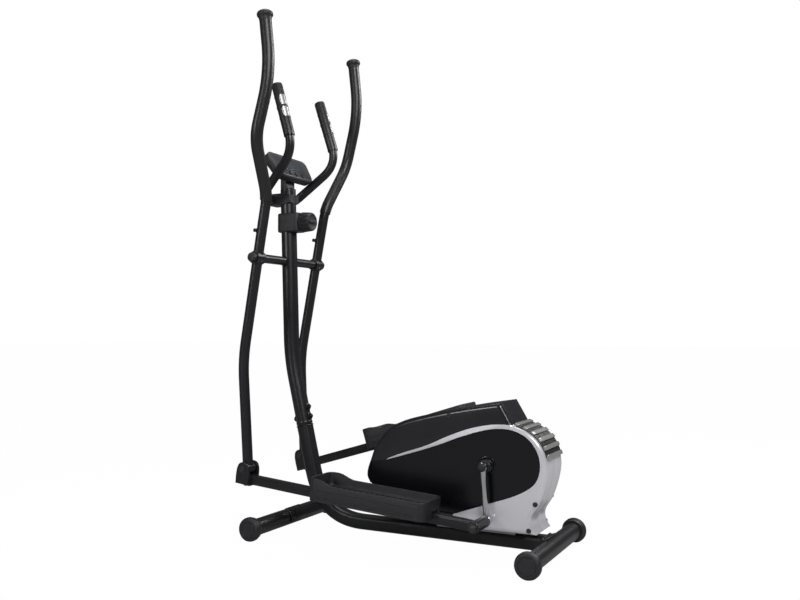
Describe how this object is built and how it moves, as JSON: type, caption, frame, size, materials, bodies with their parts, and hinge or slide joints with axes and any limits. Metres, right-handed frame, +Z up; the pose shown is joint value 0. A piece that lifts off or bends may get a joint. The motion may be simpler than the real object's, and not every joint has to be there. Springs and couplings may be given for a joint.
{
  "type": "elliptical trainer",
  "caption": "Magnetic elliptical cross trainer with swinging arms, fixed handlebar, console, foot plates and a covered rear flywheel drive.",
  "frame": {"origin": "on the floor, at the middle of the footprint", "axes": "+X is the rider's right, +Y is the way the rider faces, towards the mast, +Z is up"},
  "size_m": [0.571, 1.0081, 1.5887],
  "materials": {
    "powder_coat": "satin charcoal-black powder coat",
    "black_plastic": "moulded, fine texture",
    "cover_black": "semi-gloss moulded shell",
    "cover_silver": "metallic silver paint, semi-gloss",
    "foam": "closed-cell foam, matt",
    "chrome": "polished chrome plate",
    "steel": "zinc plated",
    "cast_iron": "turned and painted",
    "belt": "ribbed rubber",
    "lens": "clear display window",
    "sensor": "brushed plated sensor plate"
  },
  "bodies": {
    "frame": {"main_beam": "powder_coat", "front_stabilizer": "powder_coat", "rear_stabilizer": "powder_coat", "left_front_end_cap": "black_plastic", "right_front_end_cap": "black_plastic", "left_rear_end_cap": "black_plastic", "right_rear_end_cap": "black_plastic", "mast": "powder_coat", "cross_shaft": "powder_coat", "left_shaft_cap": "black_plastic", "right_shaft_cap": "black_plastic", "drive_bracket": "steel", "left_crank_bearing": "steel", "right_crank_bearing": "steel", "flywheel_axle": "steel", "drive_belt": "belt", "left_cover_silver": "cover_silver", "right_cover_silver": "cover_silver", "left_cover_black": "cover_black", "right_cover_black": "cover_black", "left_side_panel": "cover_black", "right_side_panel": "cover_black", "fixed_handlebar": "powder_coat", "left_handlebar_grip": "foam", "right_handlebar_grip": "foam", "left_pulse_sensor": "sensor", "right_pulse_sensor": "sensor", "handlebar_clamp": "black_plastic", "tension_housing": "black_plastic", "console_bracket": "black_plastic", "console_back": "black_plastic", "console_front": "black_plastic", "console_lens": "lens"},
    "clamp_knob": {"clamp_knob": "black_plastic"},
    "tension_knob": {"tension_knob": "black_plastic"},
    "magnet_bracket": {"magnet_bracket": "steel"},
    "flywheel": {"flywheel": "cast_iron"},
    "crank": {"crank_axle": "steel", "drive_pulley": "black_plastic", "left_crank_arm": "chrome", "right_crank_arm": "chrome"},
    "left_swing_arm": {"left_lower_arm": "powder_coat", "left_upper_handle": "powder_coat", "left_swing_grip": "foam", "left_swing_cap": "black_plastic"},
    "left_pedal": {"left_pedal_arm": "powder_coat", "left_foot_plate": "black_plastic", "left_crank_pin": "steel", "left_swing_pin": "steel"},
    "right_swing_arm": {"right_lower_arm": "powder_coat", "right_upper_handle": "powder_coat", "right_swing_grip": "foam", "right_swing_cap": "black_plastic"},
    "right_pedal": {"right_pedal_arm": "powder_coat", "right_foot_plate": "black_plastic", "right_crank_pin": "steel", "right_swing_pin": "steel"},
    "mode_button": {"mode_button": "black_plastic"},
    "set_button": {"set_button": "black_plastic"},
    "reset_button": {"reset_button": "black_plastic"}
  },
  "joints": [
    {"name": "left_swing", "type": "hinge", "parent": "frame", "child": "left_swing_arm", "pos_m": [-0.166, 0.4188, 0.858], "axis": [1, 0, 0], "range_deg": [-13, 13]},
    {"name": "right_swing", "type": "hinge", "parent": "frame", "child": "right_swing_arm", "pos_m": [0.166, 0.4188, 0.858], "axis": [1, 0, 0], "range_deg": [-13, 13]},
    {"name": "left_pedal_joint", "type": "hinge", "parent": "left_swing_arm", "child": "left_pedal", "pos_m": [-0.157, 0.4568, 0.205], "axis": [1, 0, 0], "range_deg": [-13, 13]},
    {"name": "right_pedal_joint", "type": "hinge", "parent": "right_swing_arm", "child": "right_pedal", "pos_m": [0.157, 0.4568, 0.205], "axis": [1, 0, 0], "range_deg": [-13, 13]},
    {"name": "flywheel_spin", "type": "hinge", "parent": "frame", "child": "flywheel", "pos_m": [0, -0.1012, 0.232], "axis": [1, 0, 0], "continuous": true},
    {"name": "crank_spin", "type": "hinge", "parent": "frame", "child": "crank", "pos_m": [0, -0.2992, 0.255], "axis": [1, 0, 0], "continuous": true},
    {"name": "tension_knob_turn", "type": "hinge", "parent": "frame", "child": "tension_knob", "pos_m": [0, 0.3628, 0.984], "axis": [0, -1, 0], "range_deg": [0, 315]},
    {"name": "magnet_bracket_swing", "type": "hinge", "parent": "frame", "child": "magnet_bracket", "pos_m": [0, -0.08288, 0.3359], "axis": [1, 0, 0], "range_deg": [0, 6.3]},
    {"name": "clamp_knob_turn", "type": "hinge", "parent": "frame", "child": "clamp_knob", "pos_m": [0, 0.4824, 1.062], "axis": [0, 1, 0], "range_deg": [-180, 180]},
    {"name": "mode_button_press", "type": "slide", "parent": "frame", "child": "mode_button", "axis": [0, 0.8358, -0.549], "range_m": [0, 0.0018], "stiffness_N_per_m": 60},
    {"name": "set_button_press", "type": "slide", "parent": "frame", "child": "set_button", "axis": [0, 0.8358, -0.549], "range_m": [0, 0.0018], "stiffness_N_per_m": 60},
    {"name": "reset_button_press", "type": "slide", "parent": "frame", "child": "reset_button", "axis": [0, 0.8358, -0.549], "range_m": [0, 0.0018], "stiffness_N_per_m": 60}
  ],
  "couplings": [
    {"joint": "right_swing", "follows": "left_swing", "ratio": -1},
    {"joint": "left_pedal_joint", "follows": "left_swing", "ratio": -1},
    {"joint": "right_pedal_joint", "follows": "left_swing", "ratio": 1},
    {"joint": "crank_spin", "follows": "flywheel_spin", "ratio": 0.13913},
    {"joint": "magnet_bracket_swing", "follows": "tension_knob_turn", "ratio": 0.02}
  ]
}
